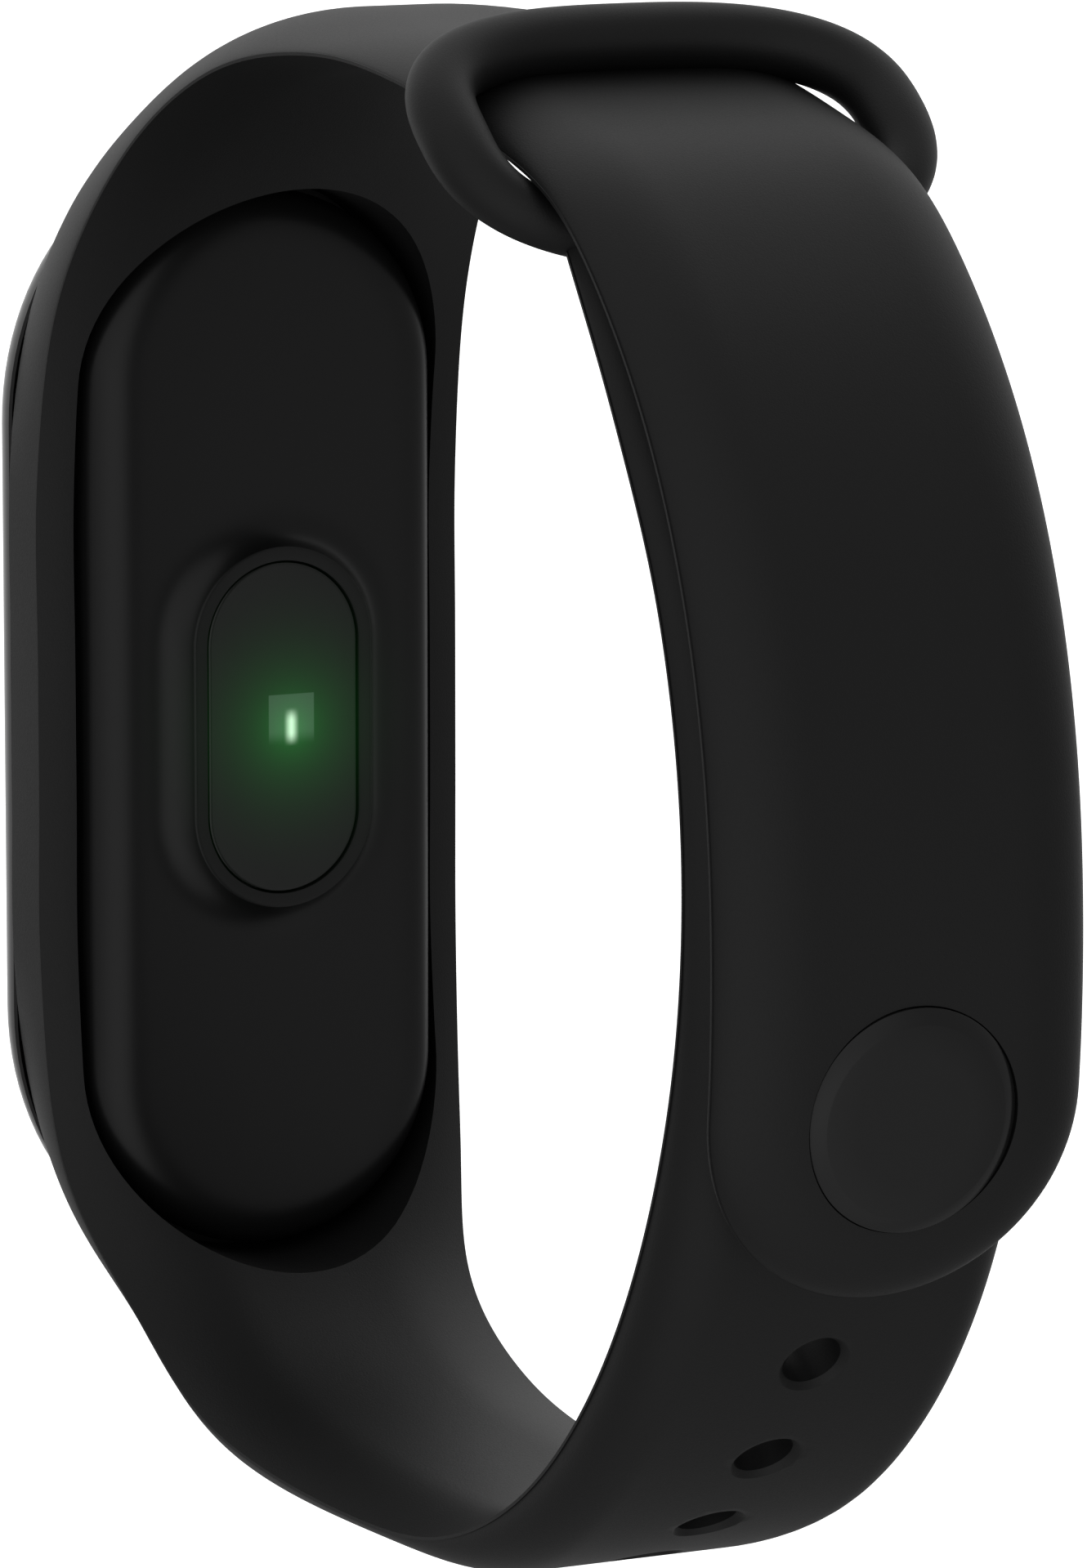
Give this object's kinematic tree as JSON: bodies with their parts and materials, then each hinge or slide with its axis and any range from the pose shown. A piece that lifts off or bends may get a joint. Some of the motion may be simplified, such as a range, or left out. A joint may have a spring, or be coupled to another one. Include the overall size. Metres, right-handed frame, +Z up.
{
  "type": "fitness tracker band",
  "caption": "Slim wrist tracker: a pill-shaped capsule with a lit optical sensor on its back, seated in a one-piece rubber strap that closes through a keeper loop with a push stud.",
  "frame": {"origin": "centre of the closed wrist loop, halfway across the strap's width", "axes": "+X points from the tracker capsule to the closure, +Y runs along the wearer's forearm through the loop, +Z runs up along the capsule's length, with the keeper loop at the top"},
  "size_m": [0.0625, 0.021, 0.0589],
  "materials": {
    "strap_rubber": "moulded matte with a very fine grain",
    "stud_finish": "satin black disc with a polished chamfer",
    "case_plastic": "smooth satin black",
    "black_glass": "polished, black behind",
    "smoked_window": "smoked, polished",
    "display_glass": "smooth dark panel",
    "frame_plastic": "plain moulded",
    "adhesive": "black foam tape",
    "copper_flex": "amber film over copper",
    "board_green": "solder mask",
    "chip_black": "moulded epoxy",
    "battery_foil": "soft foil pouch",
    "gold_plate": "polished plating",
    "steel": "drawn can",
    "heavy_metal": "sintered weight",
    "green_lamp": "clear lens over a green emitter",
    "sensor_silicon": "coated silicon"
  },
  "bodies": {
    "strap": {"wrist_strap": "strap_rubber"},
    "tongue": {"strap_tongue": "strap_rubber", "stud_head": "stud_finish", "stud_post": "stud_finish"},
    "capsule": {"rear_case": "case_plastic", "front_glass": "black_glass", "glass_adhesive": "adhesive", "touch_film": "display_glass", "display_panel": "display_glass", "display_flex": "copper_flex", "inner_frame": "frame_plastic", "antenna_strip": "copper_flex", "battery_cell": "battery_foil", "battery_lead": "copper_flex", "main_board": "board_green", "display_connector": "chip_black", "processor_chip": "chip_black", "motion_sensor": "chip_black", "power_chip": "chip_black", "sensor_board": "board_green", "green_led": "green_lamp", "photodiode_upper": "sensor_silicon", "photodiode_lower": "sensor_silicon", "light_barrier": "chip_black", "window_seal": "adhesive", "sensor_window": "smoked_window", "charging_contact_left": "gold_plate", "charging_contact_right": "gold_plate", "motor_can": "steel"},
    "motor_rotor": {"motor_shaft": "steel", "motor_weight": "heavy_metal"}
  },
  "joints": [
    {"name": "capsule_slide", "type": "slide", "parent": "strap", "child": "capsule", "axis": [-1, 0, 0], "range_m": [0, 0.015]},
    {"name": "tongue_peel", "type": "hinge", "parent": "strap", "child": "tongue", "pos_m": [0.0291, 0, 0.0069], "axis": [0, -1, 0], "range_deg": [0, 45], "stiffness_Nm_per_rad": 0.01},
    {"name": "motor_spin", "type": "hinge", "parent": "capsule", "child": "motor_rotor", "pos_m": [-0.0281, 0.0026, -0.01155], "axis": [0, 0, 1], "continuous": true}
  ]
}
